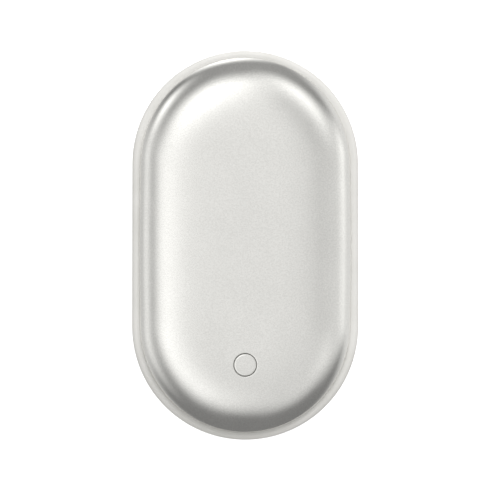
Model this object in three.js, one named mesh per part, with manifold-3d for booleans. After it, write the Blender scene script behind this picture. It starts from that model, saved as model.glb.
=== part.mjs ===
// Rechargeable hand warmer: a pebble-shaped case of two drawn aluminium shells on a moulded
// middle frame, with a push button in the front shell and two charging sockets in the bottom end.
//
// Millimetres. X is the width, Y the length with the button towards -Y, and Z the thickness.
// Every piece is built about the middle plane of the case, and the whole is then raised until
// the flat of the back shell lies at z = 0.

import * as THREE from 'three';
import { mergeVertices } from 'three/addons/utils/BufferGeometryUtils.js';
import Module from 'manifold-3d';

const wasm = await Module();
wasm.setup();

// Case outline and thickness

const LENGTH = 100;
const WIDTH = 58.1;
const THICKNESS = 26;

// Middle frame

const BAND_HEIGHT = 10;
const SHOULDER_RISE = 1.7;
const SHOULDER_LAND = 0.4;
const REVEAL = 1.77;
const FRAME_WALL = 2;
const LEDGE_DEPTH = 1;
const LEDGE_WIDTH = 1.68;
const FLANGE_THICKNESS = 1.2;
const PORT_BLOCK_HEIGHT = 8;

// Shells, each a pillow whose rounding is a superellipse between its flat middle and its skirt

const SHELL_WALL = 0.8;
const SKIRT_RISE = 0.2;
const FLAT_HALF = 6;
const CROWN_POWER_SHARE = 3;
const EDGE_POWER_SHARE = 2;

// Clearances

const SEAM = 0.1;
const SEAT = 0.05;
const CLEAR = 0.3;
const OVERRUN = 1;

// Layers under each shell

const ADHESIVE = 0.25;
const ADHESIVE_WIDTH = 0.6;
const FILM_GAP = 0.1;
const FILM = 0.25;
const INSULATION = 1;
const SHEET_RADIUS = 17;
const SHEET_END_FROM_BUTTON = 6.75;

// Cells and the carriers that clamp them

const CARRIER_GAP = 0.2;
const SIDE_ROOM = 7.15;
const CARRIER_WALL = 1.1;
const CARRIER_SPLIT = 0.2;
const CELL_CLEAR = 0.25;
const CELL_SPACING = 0.3;
const CELL_RIM = 0.8;
const CELL_GROOVE = 0.5;
const CELL_GROOVE_FROM_TOP = 3.2;
const CELL_CAP_RADIUS = 2.9;
const CELL_CAP_HEIGHT = 1;
const TOP_ROOM = 9.2;
const END_WALL = 0.8;
const END_ROOM = 0.9;
const STRIP_THICKNESS = 0.2;
const STRIP_HALF_HEIGHT = 3.5;
const STRIP_OVERLAP = 4;
const STRIP_TAB_HALF_WIDTH = 1.5;
const EAR_THICKNESS = 1.2;
const BOSS_SHARE = 0.67;
const BOSS_FROM_BEND = 4;
const BOSS_BORE_FLOOR = 0.5;

// Screws

const SCREW_RADIUS = 0.85;
const SCREW_HEAD_RADIUS = 1.6;
const SCREW_HEAD_HEIGHT = 0.9;
const SCREW_GRIP = 1.6;
const SCREW_SLOT_RADIUS = 0.7;
const SCREW_SLOT_DEPTH = 0.4;

// Button and switch

const BUTTON_FROM_END = 19.25;
const BUTTON_RADIUS = 2.8;
const BUTTON_GAP = 0.275;
const BUTTON_EDGE = 0.15;
const BUTTON_TRAVEL = 0.4;
const FLANGE_RADIUS = 3.8;
const FLANGE_HEIGHT = 0.6;
const FLANGE_DROP = 0.5;
const STEM_RADIUS = 1.5;
const STEM_REACH = 0.4;
const COLLAR_WALL = 1.35;
const COLLAR_LIP = 0.55;
const STOP_ROOM = 0.1;
const SWITCH_SIZE = 4.5;
const SWITCH_HEIGHT = 3.5;
const SWITCH_ROOM = 0.9;
const SWITCH_WELL = 1.7;
const PLUNGER_RADIUS = 1.2;
const PLUNGER_RELIEF = 0.4;

// Circuit board and what it carries

const BOARD_THICKNESS = 1.2;
const BOARD_EDGE_ROOM = 0.4;
const BOARD_FRONT_ROOM = 4.6;
const BOARD_SCREW_FROM_CELL = 8.15;
const BOARD_SCREW_FROM_EDGE = 2.3;
const POST_RADIUS = 2.1;
const RIB_THICKNESS = 1.2;
const RIB_LENGTH = 7;
const RIB_X = 9;
const FLOOR_WINDOW_LENGTH = 3.6;
const PAD_FROM_EDGE = 2;

const USB_A = { width: 13.1, height: 5.72, wall: 0.3, depth: 10, x: -5.2, mouth: 3, corner: 0.5 };
const USB_A_TONGUE = { side: 0.7, height: 1.84, recess: 0.65, block: 1.4, drop: 0.75 };
const USB_C = { width: 8.94, height: 3.16, wall: 0.3, depth: 7.35, x: 8.4, mouth: 3.4 };
const USB_C_TONGUE = { side: 0.825, height: 0.7, recess: 1.2, block: 1.2 };

const CHIP_BEVEL = 0.2;
const BOOST_CHIP = { width: 5, depth: 4, height: 1.5, x: -8.6 };
const CHARGER_CHIP = { width: 5, depth: 4, height: 1.2, x: 9.4, fromEdge: 5.4 };
const CONTROLLER_CHIP = { width: 4, depth: 5.6, height: 1.5, x: 15.4, fromEdge: 7.4 };
const INDUCTOR = { width: 5.2, depth: 5.2, height: 3, fromSocket: 0.65, fromEdge: 7.5 };
const OUTPUT_CAPACITOR = { width: 3, depth: 2.4, height: 1.9, x: -4.4, fromEdge: 2.3 };
const INPUT_CAPACITOR = { width: 3, depth: 2.4, height: 1.9, x: 4.7, fromEdge: 6.2 };

const LED = { width: 1.6, depth: 0.8, height: 0.6 };
const LED_COUNT = 4;
const LED_PITCH = 2;
const GUIDE_PIN_RADIUS = 0.5;
const GUIDE_PIN_LIFT = 1.25;
const GUIDE_PIN_RECESS = 0.35;
const GUIDE_BAR = 2;
const GUIDE_BAR_MARGIN = 0.8;

// Leads

const BATTERY_LEAD_RADIUS = 0.65;
const HEATER_LEAD_RADIUS = 0.45;
const HEATER_LEADS_FROM_CELL = [-0.75, 1.45];
const SENSOR_FROM_CELL = 3.25;
const SENSOR_RADIUS = 0.45;
const SENSOR_LENGTH = 2.4;
const SENSOR_SLOT = 1.2;
const SENSOR_LEAD = { radius: 0.3, spacing: 0.7 };
const LEAD_BEND = 3;
const LEAD_SIDESTEP_FROM_CELL = 0.15;
const STEP_PER_DIAMETER = 2.2;
const MOST_STEPS = 40;
const SIDESTEP_SHARES = [0.15, 0.5];

// Fineness of round shapes, in counts

const END_STEPS = 20;
const SHEET_END_STEPS = 14;
const PILLOW_STEPS = 8;
const ROOM_STEPS = 5;
const ROOM_END_STEPS = 12;
const SHEET_STEPS = 2;
const SHOULDER_STEPS = 3;
const CORNER_STEPS = 1;
const ROUND_CORNER_STEPS = 3;
const CELL_SIDES = 24;
const BUTTON_SIDES = 28;
const ROUND_SIDES = 14;
const LEAD_SIDES = 8;
const SCREW_SIDES = 10;

// Worked out from the sizes above

const HALF = THICKNESS / 2;
const END_RADIUS = WIDTH / 2;
const SPINE_HALF = LENGTH / 2 - END_RADIUS;
const BAND_TOP = BAND_HEIGHT / 2;
const LEDGE_TOP = BAND_TOP - LEDGE_DEPTH;
const REBATE_RADIUS = END_RADIUS - REVEAL;
const FRAME_INNER = END_RADIUS - FRAME_WALL;
const LEDGE_INNER = REBATE_RADIUS - LEDGE_WIDTH;
const SHELL_RADIUS = REBATE_RADIUS - SEAM;
const CURVE_BASE = BAND_TOP + SKIRT_RISE;
const CURVE_RISE = HALF - CURVE_BASE;
const CURVE_REACH = SHELL_RADIUS - FLAT_HALF;
const FILM_DEPTH = SHELL_WALL + FILM_GAP;
const INSULATION_DEPTH = FILM_DEPTH + FILM + FILM_GAP;
const CARRIER_DEPTH = INSULATION_DEPTH + INSULATION + CARRIER_GAP;
const CELL_OFFSET = CARRIER_WALL + CELL_CLEAR - CELL_SPACING / 2;
const CARRIER_RADIUS = Math.min(HALF - CARRIER_DEPTH, (FRAME_INNER - SIDE_ROOM + CELL_OFFSET) / 2);
const BORE_RADIUS = CARRIER_RADIUS - CARRIER_WALL;
const CELL_RADIUS = BORE_RADIUS - CELL_CLEAR;
const CELL_X = CARRIER_RADIUS - CELL_OFFSET;
const HEATER_LEAD_XS = HEATER_LEADS_FROM_CELL.map((offset) => CELL_X + offset);
const SENSOR_X = -CELL_X - SENSOR_FROM_CELL;
const LEAD_SIDESTEP_X = -CELL_X - LEAD_SIDESTEP_FROM_CELL;
const BUTTON_Y = BUTTON_FROM_END - LENGTH / 2;
const BAY_Y = BUTTON_Y + SWITCH_SIZE / 2 + SWITCH_ROOM;
const CARRIER_TOP_Y = LENGTH / 2 - TOP_ROOM;
const CELL_BOTTOM_Y = BAY_Y + END_WALL + END_ROOM;
const CELL_TOP_Y = CARRIER_TOP_Y - END_WALL - END_ROOM;
const CARRIER_HALF_WIDTH = CELL_X + CARRIER_RADIUS;
const SHEET_END_Y = BUTTON_Y + SHEET_END_FROM_BUTTON;
const BOSS_X = (CARRIER_HALF_WIDTH + FRAME_INNER) / 2;
const BOSS_RADIUS = BOSS_SHARE * (FRAME_INNER - CARRIER_HALF_WIDTH) / 2;
const BOSS_Y = SPINE_HALF - BOSS_FROM_BEND;
const EAR_TOP = CARRIER_SPLIT / 2 + EAR_THICKNESS;
const BOARD_TOP = -USB_A.height / 2 - SEAT;
const BOARD_BOTTOM = BOARD_TOP - BOARD_THICKNESS;
const BOARD_BACK_Y = BAY_Y - CLEAR;
const BOARD_RADIUS = LEDGE_INNER - BOARD_EDGE_ROOM;
const BOARD_FRONT_Y = BOARD_FRONT_ROOM - LENGTH / 2;
const BOARD_SCREW_Y = BOARD_BACK_Y - BOARD_SCREW_FROM_EDGE;
const BOARD_SCREW_X = CELL_X + BOARD_SCREW_FROM_CELL;
const PAD_Y = BOARD_BACK_Y - PAD_FROM_EDGE;
const PART_BASE = BOARD_TOP + SEAT;
const USB_A_MOUTH_Y = USB_A.mouth - LENGTH / 2;
const BOOST_CHIP_Y = (USB_A_MOUTH_Y + USB_A.depth + PAD_Y - BATTERY_LEAD_RADIUS) / 2;
const INDUCTOR_X = USB_A.x - (USB_A.width + INDUCTOR.width) / 2 - INDUCTOR.fromSocket;
const USB_C_MOUTH_Y = USB_C.mouth - LENGTH / 2;
const USB_C_Z = PART_BASE + USB_C.height / 2;
const GUIDE_Z = USB_C_Z + USB_C.height / 2 + GUIDE_PIN_LIFT;
const GUIDE_BAR_Y = USB_C_MOUTH_Y + USB_C.depth + CLEAR + GUIDE_BAR / 2;
const HOLE_RADIUS = BUTTON_RADIUS + BUTTON_GAP;
const FLANGE_TOP = HALF - SHELL_WALL - FLANGE_DROP;
const FLANGE_BOTTOM = FLANGE_TOP - FLANGE_HEIGHT;
const LIP_TOP = FLANGE_BOTTOM - BUTTON_TRAVEL - STOP_ROOM;
const LIP_BOTTOM = LIP_TOP - COLLAR_LIP;
const STEM_BOTTOM = LIP_BOTTOM - STEM_REACH;
const COLLAR_INNER = FLANGE_RADIUS + CLEAR;
const SWITCH_TOP = PART_BASE + SWITCH_HEIGHT;
const VALLEY_Z = Math.sqrt((CARRIER_RADIUS + BATTERY_LEAD_RADIUS + CLEAR) ** 2 - CELL_X ** 2);
const HEATER_LEAD_Z = (CARRIER_RADIUS + HALF - SHELL_WALL) / 2;

// Meshes and solids

function weld(geometry) {
  const bare = geometry.clone();
  bare.deleteAttribute('normal');
  bare.deleteAttribute('uv');
  const welded = mergeVertices(bare);
  const index = Array.from(welded.index.array);
  const kept = [];
  for (let i = 0; i < index.length; i += 3) {
    const [a, b, c] = index.slice(i, i + 3);
    if (a !== b && b !== c && c !== a) kept.push(a, b, c);
  }
  welded.setIndex(kept);
  return welded;
}

function solid(geometry) {
  const welded = weld(geometry);
  return new wasm.Manifold(new wasm.Mesh({
    numProp: 3,
    vertProperties: new Float32Array(welded.getAttribute('position').array),
    triVerts: new Uint32Array(welded.index.array),
  }));
}

function geometryOf(body) {
  const mesh = body.getMesh();
  const geometry = new THREE.BufferGeometry();
  geometry.setAttribute('position', new THREE.BufferAttribute(new Float32Array(mesh.vertProperties), 3));
  geometry.setIndex(new THREE.BufferAttribute(new Uint32Array(mesh.triVerts), 1));
  geometry.computeVertexNormals();
  return geometry;
}

function join(first, ...rest) {
  return rest.reduce((whole, piece) => whole.add(solid(piece)), solid(first));
}

function cut(body, ...tools) {
  return tools.reduce((whole, tool) => whole.subtract(solid(tool)), body);
}

// Simple shapes, each placed where it belongs

function block(x0, x1, y0, y1, z0, z1) {
  const geometry = new THREE.BoxGeometry(x1 - x0, y1 - y0, z1 - z0);
  return geometry.translate((x0 + x1) / 2, (y0 + y1) / 2, (z0 + z1) / 2);
}

function rodAlongZ(radius, x, y, z0, z1, sides = ROUND_SIDES) {
  const geometry = new THREE.CylinderGeometry(radius, radius, z1 - z0, sides);
  return geometry.rotateX(Math.PI / 2).translate(x, y, (z0 + z1) / 2);
}

function rodAlongY(radius, x, z, y0, y1, sides = ROUND_SIDES) {
  const geometry = new THREE.CylinderGeometry(radius, radius, y1 - y0, sides);
  return geometry.translate(x, (y0 + y1) / 2, z);
}

// A profile of radii and heights, listed from the top down, turned about Z

function turned(points, sides = ROUND_SIDES) {
  const profile = points.map(([r, z]) => new THREE.Vector2(r, z)).reverse();
  return new THREE.LatheGeometry(profile, sides).rotateX(Math.PI / 2);
}

function roundedRectangle(width, height, corner) {
  const x = width / 2 - corner;
  const y = height / 2 - corner;
  const shape = new THREE.Shape();
  shape.absarc(x, y, corner, 0, Math.PI / 2);
  shape.absarc(-x, y, corner, Math.PI / 2, Math.PI);
  shape.absarc(-x, -y, corner, Math.PI, Math.PI * 3 / 2);
  shape.absarc(x, -y, corner, Math.PI * 3 / 2, Math.PI * 2);
  return shape;
}

// A flat outline drawn in X and Z, pushed along Y from y0 to y1

function pushedAlongY(shape, x, z, y0, y1, curveSegments = CORNER_STEPS) {
  const geometry = new THREE.ExtrudeGeometry(shape, { depth: y1 - y0, bevelEnabled: false, curveSegments });
  return geometry.rotateX(Math.PI / 2).translate(x, y1, z);
}

// Stadium sweeps: a profile of distances from the case's middle line and of heights is carried
// round the two round ends and along the two straight sides. An open profile starts and ends on
// a flat middle, which closes it; a closed one makes a ring.

function stadiumDirections(steps) {
  const columns = [];
  for (const end of [1, -1]) {
    for (let i = 0; i <= steps; i += 1) {
      const angle = Math.PI * i / steps + (end < 0 ? Math.PI : 0);
      columns.push({ x: Math.cos(angle), y: Math.sin(angle), end });
    }
  }
  return columns;
}

function sweep(profile, closed, steps = END_STEPS) {
  const columns = stadiumDirections(steps);
  const position = [];
  const index = [];
  for (const [r, z] of profile) {
    for (const { x, y, end } of columns) {
      position.push(r * x, r * y + end * SPINE_HALF, z);
    }
  }
  const count = columns.length;
  const rows = closed ? profile.length : profile.length - 1;
  for (let i = 0; i < rows; i += 1) {
    const below = (i + 1) % profile.length;
    for (let j = 0; j < count; j += 1) {
      const beside = (j + 1) % count;
      const a = i * count + j;
      const b = i * count + beside;
      const c = below * count + beside;
      const d = below * count + j;
      index.push(a, d, b, b, d, c);
    }
  }
  if (!closed) {
    const last = (profile.length - 1) * count;
    for (let j = 1; j < count - 1; j += 1) {
      index.push(0, j, j + 1);
      index.push(last, last + j + 1, last + j);
    }
  }
  const geometry = new THREE.BufferGeometry();
  geometry.setAttribute('position', new THREE.Float32BufferAttribute(position, 3));
  geometry.setIndex(index);
  return geometry;
}

// The pillow's curve at a depth below the shell's outside, from the flat middle outwards

function pillowPoint(depth, turn) {
  const reach = (CURVE_REACH - depth) * Math.sin(turn) ** (2 / CROWN_POWER_SHARE);
  const rise = (CURVE_RISE - depth) * Math.cos(turn) ** (2 / EDGE_POWER_SHARE);
  return [FLAT_HALF + reach, CURVE_BASE + rise];
}

function pillowCurve(depth, steps = PILLOW_STEPS, lastTurn = Math.PI / 2) {
  const points = [];
  for (let i = 0; i <= steps; i += 1) {
    points.push(pillowPoint(depth, lastTurn * i / steps));
  }
  return points;
}

function turnAtRadius(depth, radius) {
  const share = (radius - FLAT_HALF) / (CURVE_REACH - depth);
  return Math.asin(share ** (CROWN_POWER_SHARE / 2));
}

// The room under a shell at a depth below its outside, down to a given height

function roomUnderShell(depth, floor) {
  const curve = pillowCurve(depth);
  const wall = curve[curve.length - 1][0];
  return sweep([...curve, [wall, floor], [FLAT_HALF, floor]], false);
}

// Shells

function shellBody() {
  const outside = pillowCurve(0);
  const inside = pillowCurve(SHELL_WALL).reverse();
  const skirtEnd = LEDGE_TOP + ADHESIVE + SEAT;
  const skirt = [[SHELL_RADIUS, skirtEnd], [SHELL_RADIUS - SHELL_WALL, skirtEnd]];
  return sweep([...outside, ...skirt, ...inside], false);
}

function frontShell() {
  const hole = rodAlongZ(HOLE_RADIUS, 0, BUTTON_Y, CURVE_BASE, HALF + OVERRUN, BUTTON_SIDES);
  return geometryOf(cut(solid(shellBody()), hole));
}

function adhesiveRing() {
  const outer = SHELL_RADIUS - (SHELL_WALL - ADHESIVE_WIDTH) / 2;
  const inner = outer - ADHESIVE_WIDTH;
  const top = LEDGE_TOP + ADHESIVE;
  return sweep([[outer, top], [outer, LEDGE_TOP], [inner, LEDGE_TOP], [inner, top]], true, SHEET_END_STEPS);
}

// Middle frame

function frameProfile() {
  const shoulder = [];
  const reach = REVEAL - SHOULDER_LAND;
  for (let i = 0; i <= SHOULDER_STEPS; i += 1) {
    const turn = Math.PI / 2 * i / SHOULDER_STEPS;
    const r = END_RADIUS - reach * (1 - Math.sin(turn));
    shoulder.push([r, BAND_TOP - SHOULDER_RISE * (1 - Math.cos(turn))]);
  }
  const flange = LEDGE_TOP - FLANGE_THICKNESS;
  const upper = [...shoulder];
  const upperInside = [[FRAME_INNER, flange], [LEDGE_INNER, flange], [LEDGE_INNER, LEDGE_TOP],
    [REBATE_RADIUS, LEDGE_TOP], [REBATE_RADIUS, BAND_TOP]];
  const lower = upper.map(([r, z]) => [r, -z]).reverse();
  const lowerInside = upperInside.map(([r, z]) => [r, -z]).reverse();
  return [...upper, ...lower, ...lowerInside, ...upperInside];
}

function frameBosses() {
  const top = -EAR_TOP - SEAT;
  const bottom = -LEDGE_TOP;
  const bosses = [];
  for (const x of [BOSS_X, -BOSS_X]) {
    for (const y of [BOSS_Y, -BOSS_Y]) {
      const side = Math.sign(x);
      const wall = side * (FRAME_INNER + FRAME_WALL / 2);
      bosses.push(rodAlongZ(BOSS_RADIUS, x, y, bottom, top));
      bosses.push(block(Math.min(x, wall), Math.max(x, wall), y - BOSS_RADIUS / 2, y + BOSS_RADIUS / 2,
        bottom, top));
    }
  }
  return bosses;
}

function bossBores() {
  const bores = [];
  for (const x of [BOSS_X, -BOSS_X]) {
    for (const y of [BOSS_Y, -BOSS_Y]) {
      const floor = -LEDGE_TOP + BOSS_BORE_FLOOR;
      bores.push(rodAlongZ(SCREW_RADIUS + CLEAR / 3, x, y, floor, OVERRUN));
    }
  }
  return bores;
}

function portBlock() {
  const inner = BOARD_FRONT_Y - CLEAR;
  const top = PORT_BLOCK_HEIGHT / 2;
  const room = block(-END_RADIUS, END_RADIUS, -LENGTH / 2, inner, -top, top);
  const middle = (FRAME_INNER + END_RADIUS) / 2;
  const bound = sweep([[middle, PORT_BLOCK_HEIGHT], [middle, -PORT_BLOCK_HEIGHT]], false);
  return geometryOf(solid(room).intersect(solid(bound)));
}

function portTunnels() {
  const inner = USB_A_MOUTH_Y + USB_A.depth;
  const outer = -LENGTH / 2 - OVERRUN;
  const around = 2 * CLEAR;
  const longCorner = USB_C.height / 2 + CLEAR - SEAT;
  const squareHole = roundedRectangle(USB_A.width + around, USB_A.height + around, USB_A.corner + CLEAR);
  const longHole = roundedRectangle(USB_C.width + around, USB_C.height + around, longCorner);
  return [
    pushedAlongY(squareHole, USB_A.x, PART_BASE + USB_A.height / 2, outer, inner),
    pushedAlongY(longHole, USB_C.x, USB_C_Z, outer, inner, ROUND_CORNER_STEPS),
    ...ledXs().map((x) => rodAlongY(GUIDE_PIN_RADIUS + CLEAR / 2, x, GUIDE_Z, outer, inner, LEAD_SIDES)),
  ];
}

function middleFrame() {
  const ring = join(sweep(frameProfile(), true), ...frameBosses(), portBlock());
  return geometryOf(cut(ring, ...bossBores(), ...portTunnels()));
}

// Button, collar and switch

function buttonCap() {
  const top = HALF - SEAT;
  const profile = [[0, top]];
  for (let i = 0; i <= SHOULDER_STEPS; i += 1) {
    const turn = Math.PI / 2 * i / SHOULDER_STEPS;
    const r = BUTTON_RADIUS - BUTTON_EDGE * (1 - Math.sin(turn));
    profile.push([r, top - BUTTON_EDGE * (1 - Math.cos(turn))]);
  }
  profile.push([BUTTON_RADIUS, FLANGE_TOP], [FLANGE_RADIUS, FLANGE_TOP], [FLANGE_RADIUS, FLANGE_BOTTOM]);
  profile.push([STEM_RADIUS, FLANGE_BOTTOM], [STEM_RADIUS, STEM_BOTTOM], [0, STEM_BOTTOM]);
  const blank = turned(profile, BUTTON_SIDES).translate(0, BUTTON_Y, 0);
  return geometryOf(solid(blank).intersect(solid(roomUnderShell(SEAT, 0))));
}

function buttonCollar() {
  const outer = COLLAR_INNER + COLLAR_WALL;
  const lip = STEM_RADIUS + CLEAR;
  const cup = cut(solid(rodAlongZ(outer, 0, BUTTON_Y, LIP_BOTTOM, HALF)),
    rodAlongZ(COLLAR_INNER, 0, BUTTON_Y, LIP_TOP, HALF + OVERRUN),
    rodAlongZ(lip, 0, BUTTON_Y, LIP_BOTTOM - OVERRUN, HALF + OVERRUN));
  return geometryOf(cup.intersect(solid(roomUnderShell(SHELL_WALL + FILM_GAP, 0))));
}

function switchBody() {
  const half = SWITCH_SIZE / 2;
  const body = block(-half, half, BUTTON_Y - half, BUTTON_Y + half, PART_BASE, SWITCH_TOP);
  const floor = SWITCH_TOP - SWITCH_WELL;
  const well = rodAlongZ(PLUNGER_RADIUS + CLEAR / 2, 0, BUTTON_Y, floor, SWITCH_TOP + OVERRUN);
  return geometryOf(cut(solid(body), well));
}

function switchPlunger() {
  const bottom = SWITCH_TOP - SWITCH_WELL + BUTTON_TRAVEL + CLEAR;
  const top = STEM_BOTTOM - SEAT;
  const neck = PLUNGER_RADIUS - PLUNGER_RELIEF;
  const profile = [[0, top], [neck, top], [PLUNGER_RADIUS, top - PLUNGER_RELIEF], [PLUNGER_RADIUS, bottom],
    [0, bottom]];
  return turned(profile).translate(0, BUTTON_Y, 0);
}

// Cells, nickel strips and carriers

function cell(x) {
  const can = CELL_TOP_Y - CELL_CAP_HEIGHT;
  const groove = can - CELL_GROOVE_FROM_TOP;
  const profile = [
    [0, CELL_BOTTOM_Y],
    [CELL_RADIUS - CELL_RIM, CELL_BOTTOM_Y],
    [CELL_RADIUS, CELL_BOTTOM_Y + CELL_RIM],
    [CELL_RADIUS, groove - CELL_GROOVE],
    [CELL_RADIUS - CELL_GROOVE, groove],
    [CELL_RADIUS, groove + CELL_GROOVE],
    [CELL_RADIUS, can - CELL_RIM],
    [CELL_RADIUS - CELL_RIM, can],
    [CELL_CAP_RADIUS, can],
    [CELL_CAP_RADIUS, CELL_TOP_Y],
    [0, CELL_TOP_Y],
  ];
  const points = profile.map(([r, y]) => new THREE.Vector2(r, y));
  return new THREE.LatheGeometry(points, CELL_SIDES).translate(x, 0, 0);
}

function nickelStrip(y, side) {
  const reach = CELL_X + STRIP_OVERLAP;
  const tabTop = VALLEY_Z + BATTERY_LEAD_RADIUS;
  const shape = new THREE.Shape();
  shape.moveTo(-reach, -STRIP_HALF_HEIGHT);
  shape.lineTo(reach, -STRIP_HALF_HEIGHT);
  shape.lineTo(reach, STRIP_HALF_HEIGHT);
  shape.lineTo(STRIP_TAB_HALF_WIDTH, STRIP_HALF_HEIGHT);
  shape.lineTo(STRIP_TAB_HALF_WIDTH, tabTop);
  shape.lineTo(-STRIP_TAB_HALF_WIDTH, tabTop);
  shape.lineTo(-STRIP_TAB_HALF_WIDTH, STRIP_HALF_HEIGHT);
  shape.lineTo(-reach, STRIP_HALF_HEIGHT);
  shape.closePath();
  const geometry = pushedAlongY(shape, 0, 0, y, y + STRIP_THICKNESS);
  return side < 0 ? geometry.rotateY(Math.PI) : geometry;
}

function carrierTrough() {
  let trough = join(
    rodAlongY(CARRIER_RADIUS, CELL_X, 0, BAY_Y, CARRIER_TOP_Y, CELL_SIDES),
    rodAlongY(CARRIER_RADIUS, -CELL_X, 0, BAY_Y, CARRIER_TOP_Y, CELL_SIDES),
  );
  for (const x of [BOSS_X, -BOSS_X]) {
    for (const y of [BOSS_Y, -BOSS_Y]) {
      const root = Math.sign(x) * CELL_X;
      const ear = join(
        rodAlongZ(BOSS_RADIUS - CLEAR, x, y, CARRIER_SPLIT / 2, EAR_TOP),
        block(Math.min(x, root), Math.max(x, root), y - BOSS_RADIUS + CLEAR, y + BOSS_RADIUS - CLEAR,
          CARRIER_SPLIT / 2, EAR_TOP),
      );
      trough = trough.add(ear);
    }
  }
  return trough;
}

function carrierCuts() {
  const from = BAY_Y + END_WALL;
  const to = CARRIER_TOP_Y - END_WALL;
  const tab = STRIP_TAB_HALF_WIDTH + CLEAR;
  const cuts = [
    rodAlongY(BORE_RADIUS, CELL_X, 0, from, to, CELL_SIDES),
    rodAlongY(BORE_RADIUS, -CELL_X, 0, from, to, CELL_SIDES),
    block(-CELL_X, CELL_X, from, CELL_BOTTOM_Y, -STRIP_HALF_HEIGHT - CLEAR, STRIP_HALF_HEIGHT + CLEAR),
    block(-CELL_X, CELL_X, CELL_TOP_Y - CLEAR, to, -STRIP_HALF_HEIGHT - CLEAR, STRIP_HALF_HEIGHT + CLEAR),
    block(-tab, tab, from, CELL_BOTTOM_Y, 0, HALF),
    block(-tab, tab, CELL_TOP_Y - CLEAR, to, 0, HALF),
  ];
  for (const x of [BOSS_X, -BOSS_X]) {
    for (const y of [BOSS_Y, -BOSS_Y]) {
      cuts.push(rodAlongZ(SCREW_RADIUS + CLEAR / 3, x, y, -OVERRUN, EAR_TOP + OVERRUN));
    }
  }
  return cuts;
}

function carrierRoom() {
  const bore = LEDGE_INNER - CLEAR;
  const profile = [];
  for (let i = 0; i <= ROOM_STEPS; i += 1) {
    const [r, z] = pillowPoint(CARRIER_DEPTH, Math.PI / 2 * i / ROOM_STEPS);
    const share = (r - FLAT_HALF) / (CURVE_REACH - CARRIER_DEPTH);
    profile.push([FLAT_HALF + share * (bore - FLAT_HALF), z]);
  }
  const floor = CARRIER_SPLIT / 2;
  return solid(sweep([...profile, [bore, floor], [FLAT_HALF, floor]], false, ROOM_END_STEPS));
}

// The board bay is drawn on the back carrier as it lies before it is turned over: its floor is up

function boardBay() {
  const floorTop = CARRIER_RADIUS;
  const floorBottom = CARRIER_RADIUS - CARRIER_WALL;
  const seat = -BOARD_BOTTOM + SEAT;
  let bay = join(
    block(-END_RADIUS, END_RADIUS, -LENGTH / 2, BAY_Y + END_WALL, floorBottom, floorTop),
    block(-CARRIER_HALF_WIDTH, CARRIER_HALF_WIDTH, BAY_Y, BAY_Y + END_WALL, 0, floorTop),
    rodAlongZ(POST_RADIUS, BOARD_SCREW_X, BOARD_SCREW_Y, seat, floorTop),
    rodAlongZ(POST_RADIUS, -BOARD_SCREW_X, BOARD_SCREW_Y, seat, floorTop),
  );
  for (const x of [RIB_X, -RIB_X]) {
    const ribEnd = PAD_Y - FLOOR_WINDOW_LENGTH;
    bay = bay.add(solid(block(x - RIB_THICKNESS / 2, x + RIB_THICKNESS / 2, ribEnd - RIB_LENGTH, ribEnd,
      seat, floorTop)));
  }
  const windowHalf = Math.abs(SENSOR_X) + SENSOR_SLOT;
  return cut(bay,
    block(-windowHalf, windowHalf, BAY_Y - FLOOR_WINDOW_LENGTH, BAY_Y - CLEAR, 0, HALF),
    rodAlongY(BATTERY_LEAD_RADIUS + CLEAR, 0, VALLEY_Z, BAY_Y - OVERRUN, BAY_Y + END_WALL + OVERRUN),
    rodAlongZ(SCREW_RADIUS + CLEAR / 3, BOARD_SCREW_X, BOARD_SCREW_Y, 0, floorBottom),
    rodAlongZ(SCREW_RADIUS + CLEAR / 3, -BOARD_SCREW_X, BOARD_SCREW_Y, 0, floorBottom));
}

function frontCarrier() {
  return geometryOf(cut(carrierTrough(), ...carrierCuts()).intersect(carrierRoom()));
}

function backCarrier() {
  const whole = cut(carrierTrough().add(boardBay()), ...carrierCuts());
  return geometryOf(whole.intersect(carrierRoom()));
}

// Screws, drawn with the head's seat at the given height

function screw(x, y, seat, length) {
  const top = seat + SCREW_HEAD_HEIGHT;
  const profile = [
    [0, top - SCREW_SLOT_DEPTH],
    [SCREW_SLOT_RADIUS, top],
    [SCREW_HEAD_RADIUS - SCREW_SLOT_DEPTH, top],
    [SCREW_HEAD_RADIUS, top - SCREW_SLOT_DEPTH],
    [SCREW_HEAD_RADIUS, seat],
    [SCREW_RADIUS, seat],
    [SCREW_RADIUS, seat - length + SCREW_RADIUS],
    [0, seat - length],
  ];
  return turned(profile, SCREW_SIDES).translate(x, y, 0);
}

// Circuit board

function mainBoard() {
  const backAngle = Math.asin((BOARD_BACK_Y + SPINE_HALF) / BOARD_RADIUS);
  const frontAngle = Math.asin((BOARD_FRONT_Y + SPINE_HALF) / BOARD_RADIUS);
  const shape = new THREE.Shape();
  shape.absarc(0, -SPINE_HALF, BOARD_RADIUS, Math.PI - backAngle, Math.PI - frontAngle);
  shape.absarc(0, -SPINE_HALF, BOARD_RADIUS, frontAngle, backAngle);
  shape.closePath();
  for (const x of [BOARD_SCREW_X, -BOARD_SCREW_X]) {
    const hole = new THREE.Path();
    hole.absarc(x, BOARD_SCREW_Y, SCREW_RADIUS + CLEAR / 3, 0, Math.PI * 2, true);
    shape.holes.push(hole);
  }
  const geometry = new THREE.ExtrudeGeometry(shape, {
    depth: BOARD_THICKNESS, bevelEnabled: false, curveSegments: ROUND_SIDES / 2,
  });
  return geometry.translate(0, 0, BOARD_BOTTOM);
}

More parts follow.
